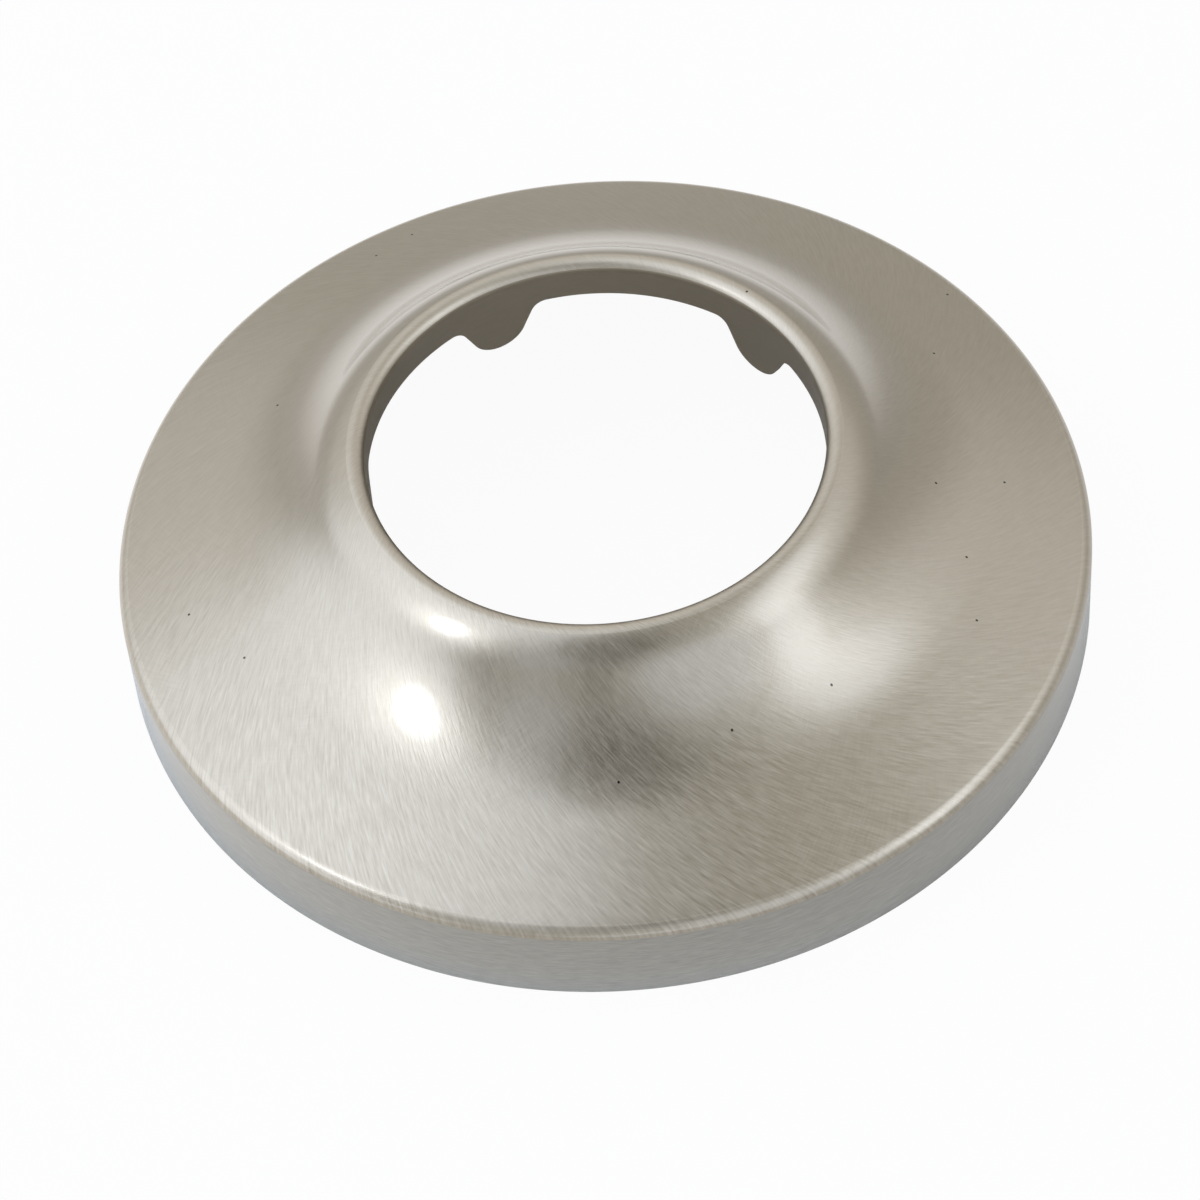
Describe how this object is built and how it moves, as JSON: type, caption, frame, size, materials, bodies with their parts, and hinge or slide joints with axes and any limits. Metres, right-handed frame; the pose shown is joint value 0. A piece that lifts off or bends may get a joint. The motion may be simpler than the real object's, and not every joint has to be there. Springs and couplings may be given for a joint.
{
  "type": "pipe escutcheon",
  "caption": "Round bell-shaped sheet-metal escutcheon with a turned-in collar and grip tabs that slides over a pipe and covers its hole in the wall.",
  "frame": {"origin": "centre of the bore in the plane of the foot, which lies on the wall", "axes": "+Z along the bore, away from the wall; +Y towards the first grip tab"},
  "size_m": [0.069, 0.069, 0.0171],
  "materials": {
    "satin_nickel": "drawn steel sheet, satin nickel plate, brushed and clear lacquered"
  },
  "bodies": {
    "root": {"escutcheon": "satin_nickel"}
  },
  "joints": []
}
